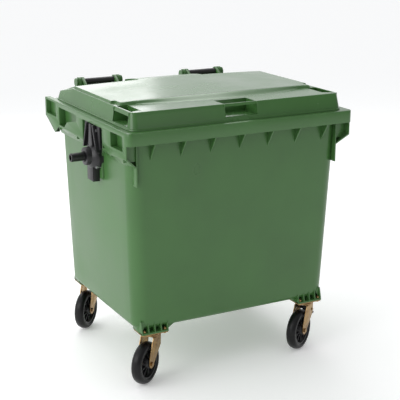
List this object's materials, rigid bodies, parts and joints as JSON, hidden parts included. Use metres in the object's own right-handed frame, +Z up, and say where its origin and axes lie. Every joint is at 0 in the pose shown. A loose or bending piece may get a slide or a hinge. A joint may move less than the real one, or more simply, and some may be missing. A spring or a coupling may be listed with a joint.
{
  "type": "wheeled waste container",
  "caption": "Large four-wheeled green plastic waste container with a flat hinged lid, comb rim, side trunnions and swivel castors.",
  "frame": {"origin": "on the ground under the centre of the container's overall box", "axes": "+X across the container to its right, along the trunnion axis; -Y to the front where the comb and the lid grips are; +Z up"},
  "size_m": [1.37, 1.028, 1.305],
  "materials": {
    "green_hdpe": "injection-moulded HDPE, semi-gloss, dark green",
    "lid_hdpe": "injection-moulded HDPE, semi-gloss, fine grain, dark green",
    "black_plastic": "black moulded plastic, satin",
    "black_steel": "black coated steel tube, satin",
    "yellow_zinc": "yellow-passivated zinc plated pressed steel",
    "zinc_steel": "bright zinc plated steel",
    "tyre_rubber": "black solid rubber",
    "seal_rubber": "black sealing rubber",
    "bearing_plastic": "natural acetal bearing cage"
  },
  "bodies": {
    "tub": {"body_tub": "green_hdpe", "hinge_rod_left": "black_steel", "hinge_rod_right": "black_steel", "hinge_rod_caps": "green_hdpe", "trunnion_bracket_left": "black_plastic", "trunnion_bracket_right": "black_plastic", "trunnion_pin_left": "black_steel", "trunnion_pin_right": "black_steel", "trunnion_screws": "zinc_steel", "drain_seal": "seal_rubber", "castor_bolts": "yellow_zinc", "castor_nuts": "yellow_zinc", "castor_plate_left_front": "yellow_zinc", "castor_balls_left_front": "zinc_steel", "castor_kingpin_left_front": "yellow_zinc", "castor_plate_right_front": "yellow_zinc", "castor_balls_right_front": "zinc_steel", "castor_kingpin_right_front": "yellow_zinc", "castor_plate_left_rear": "yellow_zinc", "castor_balls_left_rear": "zinc_steel", "castor_kingpin_left_rear": "yellow_zinc", "castor_plate_right_rear": "yellow_zinc", "castor_balls_right_rear": "zinc_steel", "castor_kingpin_right_rear": "yellow_zinc"},
    "lid": {"lid": "lid_hdpe"},
    "drain_plug": {"drain_plug": "black_plastic"},
    "fork_left_front": {"castor_fork_left_front": "yellow_zinc", "castor_axle_bolt_left_front": "yellow_zinc", "castor_axle_nut_left_front": "yellow_zinc", "castor_sleeve_left_front": "zinc_steel"},
    "wheel_left_front": {"castor_core_left_front": "black_plastic", "castor_tyre_left_front": "tyre_rubber", "castor_bearing_left_front": "bearing_plastic"},
    "brake_right_front": {"brake_pedal_right_front": "black_plastic"},
    "fork_right_front": {"castor_fork_right_front": "yellow_zinc", "castor_axle_bolt_right_front": "yellow_zinc", "castor_axle_nut_right_front": "yellow_zinc", "castor_sleeve_right_front": "zinc_steel", "brake_pin_right_front": "yellow_zinc"},
    "wheel_right_front": {"castor_core_right_front": "black_plastic", "castor_tyre_right_front": "tyre_rubber", "castor_bearing_right_front": "bearing_plastic"},
    "fork_left_rear": {"castor_fork_left_rear": "yellow_zinc", "castor_axle_bolt_left_rear": "yellow_zinc", "castor_axle_nut_left_rear": "yellow_zinc", "castor_sleeve_left_rear": "zinc_steel"},
    "wheel_left_rear": {"castor_core_left_rear": "black_plastic", "castor_tyre_left_rear": "tyre_rubber", "castor_bearing_left_rear": "bearing_plastic"},
    "brake_right_rear": {"brake_pedal_right_rear": "black_plastic"},
    "fork_right_rear": {"castor_fork_right_rear": "yellow_zinc", "castor_axle_bolt_right_rear": "yellow_zinc", "castor_axle_nut_right_rear": "yellow_zinc", "castor_sleeve_right_rear": "zinc_steel", "brake_pin_right_rear": "yellow_zinc"},
    "wheel_right_rear": {"castor_core_right_rear": "black_plastic", "castor_tyre_right_rear": "tyre_rubber", "castor_bearing_right_rear": "bearing_plastic"}
  },
  "joints": [
    {"name": "lid_hinge", "type": "hinge", "parent": "tub", "child": "lid", "pos_m": [0, 0.486, 1.272], "axis": [-1, 0, 0], "range_deg": [0, 270]},
    {"name": "swivel_left_front", "type": "hinge", "parent": "tub", "child": "fork_left_front", "pos_m": [-0.424, -0.382, 0.2], "axis": [0, 0, 1], "continuous": true},
    {"name": "wheel_spin_left_front", "type": "hinge", "parent": "fork_left_front", "child": "wheel_left_front", "pos_m": [-0.47041, -0.4151, 0.1], "axis": [0.5807, -0.8141, 0], "continuous": true},
    {"name": "swivel_right_front", "type": "hinge", "parent": "tub", "child": "fork_right_front", "pos_m": [0.424, -0.382, 0.2], "axis": [0, 0, 1], "continuous": true},
    {"name": "wheel_spin_right_front", "type": "hinge", "parent": "fork_right_front", "child": "wheel_right_front", "pos_m": [0.37514, -0.41136, 0.1], "axis": [0.515, -0.8572, 0], "continuous": true},
    {"name": "brake_right_front", "type": "hinge", "parent": "fork_right_front", "child": "brake_right_front", "pos_m": [0.44286, -0.37067, 0.187], "axis": [0.515, -0.8572, 0], "range_deg": [-18, 0]},
    {"name": "swivel_left_rear", "type": "hinge", "parent": "tub", "child": "fork_left_rear", "pos_m": [-0.424, 0.372, 0.2], "axis": [0, 0, 1], "continuous": true},
    {"name": "wheel_spin_left_rear", "type": "hinge", "parent": "fork_left_rear", "child": "wheel_left_rear", "pos_m": [-0.46569, 0.33313, 0.1], "axis": [0.682, -0.7314, 0], "continuous": true},
    {"name": "swivel_right_rear", "type": "hinge", "parent": "tub", "child": "fork_right_rear", "pos_m": [0.424, 0.372, 0.2], "axis": [0, 0, 1], "continuous": true},
    {"name": "wheel_spin_right_rear", "type": "hinge", "parent": "fork_right_rear", "child": "wheel_right_rear", "pos_m": [0.37908, 0.33691, 0.1], "axis": [0.6157, -0.788, 0], "continuous": true},
    {"name": "brake_right_rear", "type": "hinge", "parent": "fork_right_rear", "child": "brake_right_rear", "pos_m": [0.44134, 0.38555, 0.187], "axis": [0.6157, -0.788, 0], "range_deg": [-18, 0]},
    {"name": "drain_plug_turn", "type": "hinge", "parent": "tub", "child": "drain_plug", "pos_m": [0, -0.269, 0.25], "axis": [0, 0, 1], "range_deg": [0, 90]}
  ]
}
